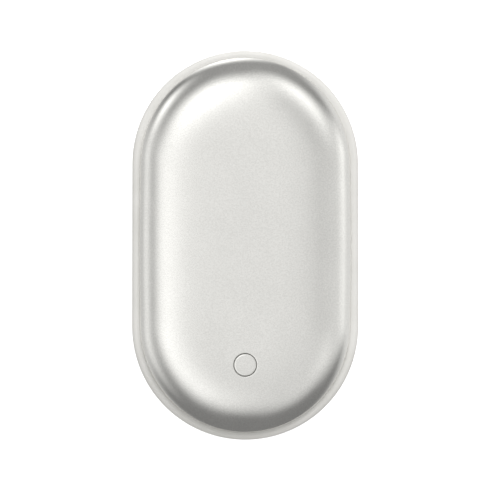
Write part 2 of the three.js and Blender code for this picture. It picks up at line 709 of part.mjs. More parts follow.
function moulding(width, depth, height, bevel, x, y) {
  const right = width / 2 - bevel;
  const far = depth / 2 - bevel;
  const shape = new THREE.Shape();
  shape.moveTo(-right, -far);
  shape.lineTo(right, -far);
  shape.lineTo(right, far);
  shape.lineTo(-right, far);
  shape.closePath();
  const geometry = new THREE.ExtrudeGeometry(shape, {
    depth: height - 2 * bevel, bevelEnabled: true, bevelSize: bevel, bevelThickness: bevel, bevelSegments: 1,
  });
  return geometry.translate(x, y, PART_BASE + bevel);
}

function boardPart({ width, depth, height, x, fromEdge }, y = BOARD_BACK_Y - fromEdge) {
  return moulding(width, depth, height, CHIP_BEVEL, x, y);
}

// Sockets

function socketShell({ width, height, wall, depth, x }, z, mouth, corner, segments) {
  const outer = roundedRectangle(width, height, corner);
  const inner = roundedRectangle(width - 2 * wall, height - 2 * wall, corner - wall);
  const body = solid(pushedAlongY(outer, x, z, mouth, mouth + depth, segments));
  const hollow = pushedAlongY(inner, x, z, mouth - OVERRUN, mouth + depth - wall, segments);
  return geometryOf(cut(body, hollow));
}

function socketTongue(socket, tongue, z, mouth, lift) {
  const rear = mouth + socket.depth - socket.wall - SEAT;
  const blockHalf = socket.height / 2 - socket.wall - CLEAR;
  const low = lift - tongue.height / 2;
  const high = lift + tongue.height / 2;
  const tip = mouth + tongue.recess;
  const width = socket.width - 2 * (socket.wall + tongue.side);
  const profile = new THREE.Shape();
  profile.moveTo(rear, -blockHalf);
  profile.lineTo(rear, blockHalf);
  profile.lineTo(rear - tongue.block, blockHalf);
  profile.lineTo(rear - tongue.block, high);
  profile.lineTo(tip, high);
  profile.lineTo(tip, low);
  profile.lineTo(rear - tongue.block, low);
  profile.lineTo(rear - tongue.block, -blockHalf);
  profile.closePath();
  const geometry = new THREE.ExtrudeGeometry(profile, { depth: width, bevelEnabled: false });
  geometry.rotateY(Math.PI / 2).rotateX(Math.PI / 2);
  return geometry.translate(socket.x - width / 2, 0, z);
}

// Charge indicator

function ledXs() {
  const first = USB_C.x - LED_PITCH * (LED_COUNT - 1) / 2;
  return Array.from({ length: LED_COUNT }, (_, i) => first + i * LED_PITCH);
}

function lightGuide() {
  const xs = ledXs();
  const margin = GUIDE_BAR_MARGIN;
  const bar = block(xs[0] - margin, xs[LED_COUNT - 1] + margin, GUIDE_BAR_Y - GUIDE_BAR / 2,
    GUIDE_BAR_Y + GUIDE_BAR / 2, PART_BASE + LED.height + CLEAR, GUIDE_Z + GUIDE_PIN_RADIUS);
  const pins = xs.map((x) => {
    const edge = Math.sqrt((END_RADIUS - GUIDE_PIN_RECESS) ** 2 - x ** 2);
    return rodAlongY(GUIDE_PIN_RADIUS, x, GUIDE_Z, -SPINE_HALF - edge, GUIDE_BAR_Y, LEAD_SIDES);
  });
  return geometryOf(join(bar, ...pins));
}

// Heaters, insulation and thermistors

function sheet(depth, thickness) {
  const outerTurn = turnAtRadius(depth, SHEET_RADIUS);
  const innerTurn = turnAtRadius(depth + thickness, SHEET_RADIUS);
  const outside = pillowCurve(depth, SHEET_STEPS, outerTurn);
  const inside = pillowCurve(depth + thickness, SHEET_STEPS, innerTurn).reverse();
  const whole = sweep([...outside, ...inside], false, SHEET_END_STEPS);
  const end = block(-END_RADIUS, END_RADIUS, -LENGTH / 2, SHEET_END_Y, 0, HALF);
  return cut(solid(whole), end);
}

function heaterFilm() {
  return geometryOf(sheet(FILM_DEPTH, FILM));
}

function insulationPad() {
  const slot = block(SENSOR_X - SENSOR_SLOT, SENSOR_X + SENSOR_SLOT, SHEET_END_Y - OVERRUN,
    SHEET_END_Y + SENSOR_LENGTH + SENSOR_SLOT + 2 * CLEAR, 0, HALF);
  return geometryOf(cut(sheet(INSULATION_DEPTH, INSULATION), slot));
}

function sensorZ() {
  const radius = Math.abs(SENSOR_X);
  const turn = turnAtRadius(INSULATION_DEPTH, radius);
  return pillowPoint(INSULATION_DEPTH, turn)[1] - SENSOR_RADIUS - SEAT;
}

function thermistor() {
  const bead = new THREE.CapsuleGeometry(SENSOR_RADIUS, SENSOR_LENGTH - 2 * SENSOR_RADIUS, 2, LEAD_SIDES);
  return weld(bead.translate(SENSOR_X, SHEET_END_Y + CLEAR + SENSOR_LENGTH / 2 + SENSOR_SLOT, sensorZ()));
}

// Leads, each a tube of eight sides on one smooth route

function tube(section, points) {
  const stations = points.map(([x, y, z]) => new THREE.Vector3(x, y, z));
  const route = new THREE.CatmullRomCurve3(stations, false, 'centripetal');
  const diameter = 2 * section.radius;
  const steps = Math.min(MOST_STEPS, Math.ceil(route.getLength() / (STEP_PER_DIAMETER * diameter)));
  return new THREE.ExtrudeGeometry(section.shape, {
    steps, extrudePath: route, curveSegments: section.segments, bevelEnabled: false,
  });
}

function roundSection(radius) {
  const shape = new THREE.Shape();
  shape.absarc(0, 0, radius, 0, Math.PI * 2);
  return { shape, radius, segments: LEAD_SIDES / 2 };
}

function positiveLead() {
  const hop = VALLEY_Z + BATTERY_LEAD_RADIUS + CLEAR;
  const [nearShare, farShare] = SIDESTEP_SHARES;
  return tube(roundSection(BATTERY_LEAD_RADIUS), [
    [0, CELL_TOP_Y - CLEAR, VALLEY_Z],
    [0, 0, VALLEY_Z],
    [0, BAY_Y + 2 * LEAD_BEND, VALLEY_Z],
    [0, BAY_Y + BATTERY_LEAD_RADIUS, hop],
    [LEAD_SIDESTEP_X * nearShare, BAY_Y - BATTERY_LEAD_RADIUS - CLEAR, hop],
    [LEAD_SIDESTEP_X * farShare, PAD_Y + CLEAR, VALLEY_Z - LEAD_BEND],
    [LEAD_SIDESTEP_X, PAD_Y, BOARD_TOP + LEAD_BEND],
    [LEAD_SIDESTEP_X, PAD_Y, BOARD_TOP + CLEAR],
  ]);
}

function negativeLead() {
  const start = BAY_Y + END_WALL;
  return tube(roundSection(BATTERY_LEAD_RADIUS), [
    [0, start, -VALLEY_Z],
    [0, BAY_Y, -VALLEY_Z],
    [0, PAD_Y + BATTERY_LEAD_RADIUS, -VALLEY_Z + BATTERY_LEAD_RADIUS / 2],
    [0, PAD_Y, BOARD_BOTTOM - CLEAR],
  ]);
}

function heaterLead(x, end) {
  return tube(roundSection(HEATER_LEAD_RADIUS), [
    [x, SHEET_END_Y - CLEAR, HEATER_LEAD_Z],
    [x, BAY_Y - HEATER_LEAD_RADIUS, HEATER_LEAD_Z],
    [x, PAD_Y - HEATER_LEAD_RADIUS, (HEATER_LEAD_Z + end) / 2],
    [x, PAD_Y, end],
  ]);
}

function sensorLead(end) {
  const { radius, spacing } = SENSOR_LEAD;
  const shape = new THREE.Shape();
  shape.absarc(spacing / 2, 0, radius, -Math.PI / 2, Math.PI / 2);
  shape.absarc(-spacing / 2, 0, radius, Math.PI / 2, Math.PI * 3 / 2);
  const z = sensorZ();
  return tube({ shape, radius: radius + spacing / 4, segments: LEAD_SIDES / 4 }, [
    [SENSOR_X, SHEET_END_Y + SENSOR_SLOT, z],
    [SENSOR_X, BAY_Y - HEATER_LEAD_RADIUS, z],
    [SENSOR_X, PAD_Y - HEATER_LEAD_RADIUS, (z + end) / 2],
    [SENSOR_X, PAD_Y, end],
  ]);
}

// Materials

function finish(color, roughness, metalness = 0) {
  return new THREE.MeshStandardMaterial({ color, roughness, metalness });
}

const FINISH = {
  shell: finish('#d2d1cc', 0.36, 1),
  frame: finish('#dedcd6', 0.55),
  innerPlastic: finish('#30343a', 0.6),
  adhesive: finish('#8c8f92', 0.9),
  cellWrap: finish('#2f6fb0', 0.45),
  nickel: finish('#c8c6be', 0.3, 1),
  steel: finish('#b9bcc0', 0.3, 1),
  blackZinc: finish('#3a3c40', 0.4, 1),
  board: finish('#1d5a3a', 0.5),
  chip: finish('#1c1d1f', 0.6),
  ferrite: finish('#4a4c50', 0.7),
  capacitor: finish('#a98a52', 0.5),
  led: finish('#f2efe0', 0.3),
  guide: finish('#e8eef0', 0.15),
  tongue: finish('#202226', 0.5),
  heater: finish('#c07a2c', 0.45),
  foam: finish('#d9d4c4', 0.95),
  bead: finish('#3a2c20', 0.4),
  redLead: finish('#b02a24', 0.5),
  blackLead: finish('#1b1b1c', 0.5),
  whiteLead: finish('#e6e4de', 0.5),
};

// Assembly

const handWarmer = new THREE.Group();
const front = new THREE.Group();
const back = new THREE.Group();
back.rotation.y = Math.PI;
handWarmer.add(front, back);
front.position.z = HALF;
back.position.z = HALF;

function place(side, name, geometry, material) {
  const mesh = new THREE.Mesh(geometry, material.clone());
  mesh.name = name;
  side.add(mesh);
}

place(front, 'front_shell', frontShell(), FINISH.shell);
place(back, 'back_shell', shellBody(), FINISH.shell);
place(front, 'middle_frame', middleFrame(), FINISH.frame);
place(front, 'button_cap', buttonCap(), FINISH.shell);
place(front, 'button_collar', buttonCollar(), FINISH.innerPlastic);
place(front, 'switch_body', switchBody(), FINISH.chip);
place(front, 'switch_plunger', switchPlunger(), FINISH.innerPlastic);

place(front, 'front_carrier', frontCarrier(), FINISH.innerPlastic);
place(back, 'back_carrier', backCarrier(), FINISH.innerPlastic);
place(front, 'cell_left', cell(-CELL_X), FINISH.cellWrap);
place(front, 'cell_right', cell(CELL_X), FINISH.cellWrap);
place(front, 'strip_positive', nickelStrip(CELL_TOP_Y + SEAT, 1), FINISH.nickel);
place(front, 'strip_negative', nickelStrip(CELL_BOTTOM_Y - SEAT - STRIP_THICKNESS, -1), FINISH.nickel);
place(front, 'lead_positive', positiveLead(), FINISH.redLead);
place(front, 'lead_negative', negativeLead(), FINISH.blackLead);

place(front, 'main_board', mainBoard(), FINISH.board);
place(front, 'boost_chip', boardPart(BOOST_CHIP, BOOST_CHIP_Y), FINISH.chip);
place(front, 'charger_chip', boardPart(CHARGER_CHIP), FINISH.chip);
place(front, 'controller_chip', boardPart(CONTROLLER_CHIP), FINISH.chip);
place(front, 'inductor', boardPart({ ...INDUCTOR, x: INDUCTOR_X }), FINISH.ferrite);
place(front, 'output_capacitor', boardPart(OUTPUT_CAPACITOR), FINISH.capacitor);
place(front, 'input_capacitor', boardPart(INPUT_CAPACITOR), FINISH.capacitor);

const usbAZ = PART_BASE + USB_A.height / 2;
const usbALift = USB_A.height / 2 - USB_A.wall - USB_A_TONGUE.drop - USB_A_TONGUE.height / 2;
const usbAShell = socketShell(USB_A, usbAZ, USB_A_MOUTH_Y, USB_A.corner, CORNER_STEPS);
const usbCShell = socketShell(USB_C, USB_C_Z, USB_C_MOUTH_Y, USB_C.height / 2 - SEAT, ROUND_CORNER_STEPS);
place(front, 'usb_a_shell', usbAShell, FINISH.steel);
const usbATongue = socketTongue(USB_A, USB_A_TONGUE, usbAZ, USB_A_MOUTH_Y, usbALift);
const usbCTongue = socketTongue(USB_C, USB_C_TONGUE, USB_C_Z, USB_C_MOUTH_Y, 0);
place(front, 'usb_a_tongue', usbATongue, FINISH.tongue);
place(front, 'usb_c_shell', usbCShell, FINISH.steel);
place(front, 'usb_c_tongue', usbCTongue, FINISH.tongue);

ledXs().forEach((x, i) => {
  const led = moulding(LED.width, LED.depth, LED.height, LED.height / 6, x, GUIDE_BAR_Y);
  place(front, `led_${i + 1}`, led, FINISH.led);
});
place(front, 'light_guide', lightGuide(), FINISH.guide);

for (const [side, name, padFace] of [[front, 'front', BOARD_TOP], [back, 'back', -BOARD_BOTTOM]]) {
  const end = padFace + CLEAR;
  place(side, `${name}_adhesive`, adhesiveRing(), FINISH.adhesive);
  place(side, `${name}_heater`, heaterFilm(), FINISH.heater);
  place(side, `${name}_insulation`, insulationPad(), FINISH.foam);
  place(side, `${name}_thermistor`, thermistor(), FINISH.bead);
  place(side, `${name}_thermistor_lead`, sensorLead(end), FINISH.whiteLead);
  HEATER_LEAD_XS.forEach((x, i) => {
    place(side, `${name}_heater_lead_${i + 1}`, heaterLead(x, end), FINISH.whiteLead);
  });
}

const carrierScrewSeat = EAR_TOP + SEAT;
const carrierScrewLength = carrierScrewSeat + LEDGE_TOP - BOSS_BORE_FLOOR - CLEAR;
let screwNumber = 1;
for (const y of [BOSS_Y, -BOSS_Y]) {
  for (const x of [-BOSS_X, BOSS_X]) {
    const geometry = screw(x, y, carrierScrewSeat, carrierScrewLength);
    place(front, `carrier_screw_${screwNumber}`, geometry, FINISH.blackZinc);
    screwNumber += 1;
  }
}
const boardScrewLength = BOARD_THICKNESS + 2 * SEAT + SCREW_GRIP;
[-BOARD_SCREW_X, BOARD_SCREW_X].forEach((x, i) => {
  const geometry = screw(x, BOARD_SCREW_Y, PART_BASE, boardScrewLength);
  place(front, `board_screw_${i + 1}`, geometry, FINISH.blackZinc);
});

export default handWarmer;
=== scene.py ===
import math

import bmesh
import bpy
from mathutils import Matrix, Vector


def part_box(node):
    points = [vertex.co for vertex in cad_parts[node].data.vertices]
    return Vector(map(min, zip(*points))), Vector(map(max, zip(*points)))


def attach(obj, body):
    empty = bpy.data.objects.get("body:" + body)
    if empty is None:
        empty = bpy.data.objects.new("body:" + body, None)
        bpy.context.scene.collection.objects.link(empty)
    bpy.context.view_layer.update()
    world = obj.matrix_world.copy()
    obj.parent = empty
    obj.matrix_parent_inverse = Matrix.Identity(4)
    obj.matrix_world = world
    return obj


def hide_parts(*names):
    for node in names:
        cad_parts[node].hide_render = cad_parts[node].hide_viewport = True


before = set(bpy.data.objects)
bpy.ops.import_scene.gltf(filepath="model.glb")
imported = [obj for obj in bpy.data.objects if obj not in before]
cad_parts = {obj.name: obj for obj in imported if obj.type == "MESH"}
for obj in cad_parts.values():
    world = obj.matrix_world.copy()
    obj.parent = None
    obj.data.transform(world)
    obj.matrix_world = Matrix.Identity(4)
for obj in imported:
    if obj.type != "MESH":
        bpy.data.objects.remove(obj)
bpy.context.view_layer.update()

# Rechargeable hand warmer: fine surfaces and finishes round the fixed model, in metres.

MM = 0.001
OVERRUN = 1 * MM

# Sizes read from the frame

ring_low, ring_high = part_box("middle_frame")
shell_low, shell_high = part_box("front_shell")
cap_low, cap_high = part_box("button_cap")

MIDDLE_Z = (ring_low.z + ring_high.z) / 2
END_RADIUS = ring_high.x
SPINE_HALF = ring_high.y - ring_high.x
BAND_TOP = ring_high.z - MIDDLE_Z
SHELL_RADIUS = shell_high.x
HALF = shell_high.z - MIDDLE_Z
SKIRT_END = shell_low.z - MIDDLE_Z
BUTTON_Y = (cap_low.y + cap_high.y) / 2
FLANGE_RADIUS = cap_high.x

# Sizes of the shells

SHELL_WALL = 0.8 * MM
SKIRT_RISE = 0.2 * MM
FLAT_HALF = 6 * MM
CROWN_POWER = 3
LIP = 0.15 * MM
EDGE_DRAW = 0.3 * MM
EDGE_DRAW_POWER = 4

CURVE_BASE = BAND_TOP + SKIRT_RISE
CURVE_RISE = HALF - CURVE_BASE
CURVE_REACH = SHELL_RADIUS - FLAT_HALF

# Sizes of the middle frame

SHOULDER_RISE = 1.7 * MM
SHOULDER_LAND = 0.4 * MM
REVEAL = 1.77 * MM
LIP_GAP = 0.02 * MM
LIP_EDGE = 0.03 * MM
LIP_HEIGHT = 0.3 * MM
FRAME_WALL = 2 * MM
LEDGE_DEPTH = 1 * MM
LEDGE_WIDTH = 1.68 * MM
FLANGE_THICKNESS = 1.2 * MM
PARTING_DEPTH = 0.03 * MM
PARTING_HALF = 0.08 * MM
BAND_SUPPORT = 0.1 * MM
BLOCK_HALF = 4 * MM
BLOCK_FROM_END = 4.3 * MM

# Sizes of the button and its hole

BUTTON_RADIUS = 2.8 * MM
BUTTON_GAP = 0.2 * MM
BUTTON_EDGE = 0.45 * MM
BUTTON_ROLL = 0.2 * MM
BUTTON_SET_BACK = 0.05 * MM
HOLE_EDGE = 0.3 * MM
HOLE_ROLL = 0.07 * MM
HOLE_REACH = 3 * MM
FLANGE_DROP = 0.5 * MM
FLANGE_HEIGHT = 0.6 * MM
STEM_RADIUS = 1.5 * MM

# Sizes of the ports and sockets

PORT_CLEAR = 0.3 * MM
PORT_EDGE = 0.25 * MM
PORT_REACH = 12 * MM
SOCKET_WALL = 0.3 * MM
USB_A_CORNER = 0.5 * MM
USB_A_SLAB = 1.84 * MM
USB_A_LIFT = 0.89 * MM
USB_A_BLOCK = 1.4 * MM
USB_C_CORNER_SHARE = 0.97
USB_C_PORT_FLAT = 0.03 * MM
USB_C_SLAB = 0.7 * MM
USB_C_BLOCK = 1.2 * MM
TIP_ROUND = 0.15 * MM
CONTACT_SUNK = 0.05 * MM
CONTACT_PROUD = 0.04 * MM
SPRING_START = 0.9 * MM
SPRING_LENGTH = 6 * MM
SPRING_WIDTH = 1.9 * MM
SPRING_BOW = 0.36 * MM
SPRING_BOW_SHARE = 0.8
SPRING_LEAN = 1.4
SPRING_GAUGE = 0.2 * MM
SPRING_OFFSET = 2.9 * MM

# Rows of contacts: count, pitch, width, start from the tongue's tip, length

USB_A_ROW = (2, 2 * MM, 1 * MM, 0.9 * MM, 5.4 * MM)
USB_A_OUTER_ROW = (2, 7 * MM, 1 * MM, 0.4 * MM, 5.9 * MM)
USB_C_ROW = (12, 0.5 * MM, 0.26 * MM, 0.45 * MM, 2.9 * MM)

# Sizes of the light guide, whose pins taper by their draft

GUIDE_PIN = 0.5 * MM
GUIDE_CLEAR = 0.15 * MM
GUIDE_PITCH = 2 * MM
GUIDE_COUNT = 4
GUIDE_BAR_MARGIN = 0.8 * MM
GUIDE_BAR_DEPTH = 2 * MM
GUIDE_BEVEL = 0.15 * MM
GUIDE_DRAFT = 0.02
GUIDE_TIP_INSET = 0.35 * MM
GUIDE_DOME = 0.18 * MM
GUIDE_ROOT = 0.5 * MM

# Fineness, in counts and lengths

END_STEPS = 80
SIDE_STEPS = 12
FLAT_STEPS = 4
CURVE_SAMPLES = 2000
CURVE_STEP = 0.3 * MM
INSIDE_STEP = 1.2 * MM
SHOULDER_STEPS = 16
EDGE_STEPS = 6
ROUND_STEPS = 96
PIN_STEPS = 24
CAP_RINGS = 7
CAP_RING_STEP = 0.35 * MM
SPRING_STEPS = 14
SMOOTH_ANGLE = math.radians(32)
SAME_POINT = 0.0005 * MM
SLIVER = 0.0002 * MM
SAME_DIRECTION = 1e-6

QUARTER = math.pi / 2
SQUARE = ((-1, 0), (1, 0), (1, 1), (-1, 1))


# Meshes

def new_object(name, data):
    obj = bpy.data.objects.new(name, data)
    bpy.context.scene.collection.objects.link(obj)
    return obj


def solid(name, vertices, faces):
    mesh = bpy.data.meshes.new(name)
    mesh.from_pydata(vertices, [], faces)
    return new_object(name, tidy(mesh))


def tidy(mesh):
    """Merges corners, turns faces outward and smooths the shading between sharp edges."""
    work = bmesh.new()
    work.from_mesh(mesh)
    bmesh.ops.remove_doubles(work, verts=work.verts, dist=SAME_POINT)
    bmesh.ops.dissolve_degenerate(work, edges=work.edges, dist=SLIVER)
    bmesh.ops.recalc_face_normals(work, faces=work.faces)
    for face in work.faces:
        face.smooth = True
    for edge in work.edges:
        edge.smooth = edge.is_manifold and edge.calc_face_angle(0) < SMOOTH_ANGLE
    work.to_mesh(mesh)
    work.free()
    return mesh


def combine(obj, tool, operation):
    """Cuts or joins a tool into an object for good, and takes the tool away."""
    change = obj.modifiers.new(operation.lower(), "BOOLEAN")
    change.operation = operation
    change.solver = "EXACT"
    change.object = tool
    depsgraph = bpy.context.evaluated_depsgraph_get()
    made = bpy.data.meshes.new_from_object(obj.evaluated_get(depsgraph))
    obj.modifiers.clear()
    obj.data = tidy(made)
    bpy.data.objects.remove(tool)


def faces_between(rows, count, closed=False):
    """Faces that join each row of count points to the next, and the last to the first if closed."""
    faces = []
    for row in range(rows if closed else rows - 1):
        a, b = row * count, (row + 1) % rows * count
        for i in range(count):
            j = (i + 1) % count
            faces.append((a + i, a + j, b + j, b + i))
    return faces


def body_faces(rows, count):
    """Faces between the rows, and a flat one over each end."""
    ends = [tuple(range(count)), tuple(range((rows - 1) * count, rows * count))]
    return faces_between(rows, count) + ends


def loft(name, rings):
    """A closed body through rings of as many points each, with flat ends."""
    vertices = [point for ring in rings for point in ring]
    return solid(name, vertices, body_faces(len(rings), len(rings[0])))


def stadium_columns():
    """Directions round the outline, each with its place on the middle line."""
    columns = []
    for end in (1, -1):
        start = 0 if end > 0 else math.pi
        for i in range(END_STEPS + 1):
            angle = start + math.pi * i / END_STEPS
            columns.append((math.cos(angle), math.sin(angle), end * SPINE_HALF))
        for i in range(1, SIDE_STEPS):
            columns.append((-end, 0.0, end * SPINE_HALF * (1 - 2 * i / SIDE_STEPS)))
    return columns


def drawn_in(y, shift):
    """How far the shell's edge draws in, most halfway between a side's middle and an end's."""
    along = abs(shift) + SHELL_RADIUS * math.asin(min(1.0, abs(y)))
    return EDGE_DRAW * math.sin(math.pi * along / (SPINE_HALF + SHELL_RADIUS * QUARTER)) ** 2


def sweep(name, profile, shares, side=1, closed=False):
    """A profile of distances from the middle line and heights, carried round the outline.

    Each point of the profile has its share of the draw.
    """
    columns = stadium_columns()
    vertices = []
    for (r, z), share in zip(profile, shares):
        for x, y, shift in columns:
            out = r - share * drawn_in(y, shift)
            vertices.append((side * out * x, out * y + shift, MIDDLE_Z + side * z))
    return solid(name, vertices, faces_between(len(profile), len(columns), closed))


def evenly(points, step):
    """The same line with its points a step apart."""
    lengths = [0.0]
    for (r0, z0), (r1, z1) in zip(points, points[1:]):
        lengths.append(lengths[-1] + math.hypot(r1 - r0, z1 - z0))
    count = max(2, round(lengths[-1] / step))
    made = []
    at = 0
    for i in range(count + 1):
        wanted = lengths[-1] * i / count
        while at < len(points) - 2 and lengths[at + 1] < wanted:
            at += 1
        share = (wanted - lengths[at]) / (lengths[at + 1] - lengths[at])
        (r0, z0), (r1, z1) = points[at], points[at + 1]
        made.append((r0 + share * (r1 - r0), z0 + share * (z1 - z0)))
    return made


def arc(centre_r, centre_z, radius, first, last, steps=EDGE_STEPS):
    """Points on a round edge between two directions in degrees."""
    points = []
    for i in range(steps + 1):
        angle = math.radians(first + (last - first) * i / steps)
        points.append((centre_r + radius * math.cos(angle), centre_z + radius * math.sin(angle)))
    return points


def rolled(width, depth, steps):
    """A quarter of an ellipse, as steps of how far each point is in from the side and down."""
    turns = [QUARTER * i / steps for i in range(steps + 1)]
    return [(width * (1 - math.sin(turn)), depth * (1 - math.cos(turn))) for turn in turns]


# The pillow, whose height falls from the flat middle to the skirt

def pillow_height(radius):
    share = max(0.0, radius - FLAT_HALF) / CURVE_REACH
    return CURVE_BASE + CURVE_RISE * math.sqrt(max(0.0, 1 - share ** CROWN_POWER))


def pillow_curve(depth, step):
    """The curved part of the profile, a depth under the outside."""
    points = []
    for i in range(CURVE_SAMPLES + 1):
        turn = QUARTER * i / CURVE_SAMPLES
        r = FLAT_HALF + (CURVE_REACH - depth) * math.sin(turn) ** (2 / CROWN_POWER)
        points.append((r, CURVE_BASE + (CURVE_RISE - depth) * math.cos(turn)))
    return evenly(points, step)


def from_middle_line(x, y):
    return math.hypot(x, y - max(-SPINE_HALF, min(SPINE_HALF, y)))


def shell(name, side):
    """A shell of one wall, whose edge draws in while its flat middle keeps its place."""
    flat = [(FLAT_HALF * i / FLAT_STEPS, HALF) for i in range(FLAT_STEPS)]
    under = [(r, z - SHELL_WALL) for r, z in reversed(flat)]
    inner = SHELL_RADIUS - SHELL_WALL
    lip = arc(SHELL_RADIUS - LIP, SKIRT_END + LIP, LIP, 0, -90)
    lip += arc(inner + LIP, SKIRT_END + LIP, LIP, -90, -180)
    inside = pillow_curve(SHELL_WALL, INSIDE_STEP)[::-1]
    profile = flat + pillow_curve(0, CURVE_STEP) + lip + inside + under
    shares = [(max(0.0, r - FLAT_HALF) / CURVE_REACH) ** EDGE_DRAW_POWER for r, z in profile]
    return sweep(name, profile, shares, side)


# Holes through a curved wall, with a rounded mouth

def circle_outline(radius, steps=ROUND_STEPS):
    """Points and outward directions round a circle."""
    outline = []
    for i in range(steps):
        angle = 2 * math.pi * i / steps
        normal = Vector((math.cos(angle), math.sin(angle)))
        outline.append((normal * radius, normal))
    return outline


def rounded_outline(width, height, corner):
    """Points and outward directions round a rectangle with round corners."""
    right, top = width / 2 - corner, height / 2 - corner
    turned = []
    for index, (x, y) in enumerate([(right, top), (-right, top), (-right, -top), (right, -top)]):
        for i in range(EDGE_STEPS + 1):
            angle = QUARTER * (index + i / EDGE_STEPS)
            normal = Vector((math.cos(angle), math.sin(angle)))
            turned.append((Vector((x, y)) + normal * corner, normal))
    outline = []
    for (point, normal), (following, beyond) in zip(turned, turned[1:] + turned[:1]):
        outline.append((point, normal))
        if (normal - beyond).length < SAME_DIRECTION:
            for i in range(1, SIDE_STEPS):
                outline.append((point.lerp(following, i / SIDE_STEPS), normal))
    return outline


def on_pillow(point, depth):
    """A point under the front shell's outside, near the button."""
    x, y = point.x, point.y + BUTTON_Y
    return (x, y, MIDDLE_Z + pillow_height(from_middle_line(x, y)) - depth)


def on_band(point, depth):
    """A point inside the bottom end of the middle frame's band."""
    wall = SPINE_HALF + math.sqrt(END_RADIUS ** 2 - point.x ** 2)
    return (point.x, -wall + depth, MIDDLE_Z + point.y)


def flared(name, outline, centre, place, edge, reach, roll=None):
    """A cutting tool for a hole, with the wall's own edge rounded at its mouth."""
    rings = [[place(centre + p + n * edge, -OVERRUN) for p, n in outline]]
    for out, deep in rolled(edge, roll or edge, EDGE_STEPS):
        rings.append([place(centre + p + n * out, deep) for p, n in outline])
    rings.append([place(centre + p, reach) for p, n in outline])
    return loft(name, rings)


# Front shell and button

def front_shell():
    piece = shell("front_shell_fine", 1)
    outline = circle_outline(BUTTON_RADIUS + BUTTON_GAP)
    tool = flared("hole", outline, Vector((0, 0)), on_pillow, HOLE_EDGE, HOLE_REACH, HOLE_ROLL)
    combine(piece, tool, "DIFFERENCE")
    return piece


def button_cap():
    """Cap, flange and stem turned about the button's axis, with a face that follows the shell."""
    top = HALF - BUTTON_SET_BACK
    flange_top = HALF - SHELL_WALL - FLANGE_DROP
    flange_bottom = flange_top - FLANGE_HEIGHT
    stem_bottom = cap_low.z - MIDDLE_Z
    face = [(i * CAP_RING_STEP, top) for i in range(CAP_RINGS)]
    for inward, down in rolled(BUTTON_EDGE, BUTTON_ROLL, SHOULDER_STEPS):
        face.append((BUTTON_RADIUS - inward, top - down))
    body = [(BUTTON_RADIUS, flange_top), (FLANGE_RADIUS, flange_top), (FLANGE_RADIUS, flange_bottom),
            (STEM_RADIUS, flange_bottom), (STEM_RADIUS, stem_bottom), (0.0, stem_bottom)]
    vertices = []
    for index, (r, z) in enumerate(face + body):
        for _, normal in circle_outline(1.0):
            x, y = normal.x * r, normal.y * r + BUTTON_Y
            fall = HALF - pillow_height(from_middle_line(x, y)) if index < len(face) else 0
            vertices.append((x, y, MIDDLE_Z + z - fall))
    return solid("button_cap_fine", vertices, faces_between(len(face + body), ROUND_STEPS))


# Middle frame

def frame_profile():
    """The whole section of the frame, from its shoulder round the outside and back inside."""
    rebate = END_RADIUS - REVEAL
    inner = END_RADIUS - FRAME_WALL
    ledge_top = BAND_TOP - LEDGE_DEPTH
    ledge_inner = rebate - LEDGE_WIDTH
    flange = ledge_top - FLANGE_THICKNESS
    lip = SHELL_RADIUS + LIP_GAP
    outside = []
    for inward, down in rolled(REVEAL - SHOULDER_LAND, SHOULDER_RISE, SHOULDER_STEPS):
        outside.append((END_RADIUS - inward, BAND_TOP - down))
    outside += [(END_RADIUS, BAND_TOP - SHOULDER_RISE - BAND_SUPPORT),
                (END_RADIUS, PARTING_HALF + BAND_SUPPORT), (END_RADIUS, PARTING_HALF)]
    parting = [(END_RADIUS - PARTING_DEPTH, 0)]
    inside = [(inner, flange), (ledge_inner, flange), (ledge_inner, ledge_top), (rebate, ledge_top),
              (rebate, BAND_TOP - LIP_HEIGHT), (lip, BAND_TOP - LIP_HEIGHT), (lip, BAND_TOP - LIP_EDGE),
              (lip + LIP_EDGE, BAND_TOP)]
    lower_outside = [(r, -z) for r, z in reversed(outside)]
    lower_inside = [(r, -z) for r, z in reversed(inside)]
    return outside + parting + lower_outside + lower_inside + inside


def follows_shell(r, z):
    """Whether a point of the frame is on its lip, which takes the whole draw of the shell's edge."""
    return r < END_RADIUS - REVEAL and abs(z) > BAND_TOP - LEDGE_DEPTH


def port_block():
    """The thick wall round the sockets, inside the bottom end."""
    radius = END_RADIUS - FRAME_WALL / 2
    reach = math.acos((END_RADIUS - BLOCK_FROM_END) / radius)
    edge = []
    for i in range(ROUND_STEPS + 1):
        angle = -QUARTER - reach + 2 * reach * i / ROUND_STEPS
        edge.append((radius * math.cos(angle), radius * math.sin(angle) - SPINE_HALF))
    rings = [[(x, y, MIDDLE_Z + z) for x, y in edge] for z in (-BLOCK_HALF, BLOCK_HALF)]
    return loft("port_block", rings)


def socket_place(node):
    """Width, height and centre of a socket as seen from the bottom end."""
    low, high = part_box(node)
    centre = Vector(((low.x + high.x) / 2, (low.z + high.z) / 2 - MIDDLE_Z))
    return high.x - low.x, high.z - low.z, centre


def guide_places():
    """Centres of the light guide's pins as seen from the bottom end."""
    low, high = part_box("light_guide")
    first = (low.x + high.x) / 2 - GUIDE_PITCH * (GUIDE_COUNT - 1) / 2
    return [Vector((first + i * GUIDE_PITCH, high.z - GUIDE_PIN - MIDDLE_Z)) for i in range(GUIDE_COUNT)]


def port(node, corner):
    """A cutting tool that leaves a clearance all round a socket."""
    width, height, centre = socket_place(node)
    outline = rounded_outline(width + 2 * PORT_CLEAR, height + 2 * PORT_CLEAR, corner)
    return flared("port", outline, centre, on_band, PORT_EDGE, PORT_REACH)


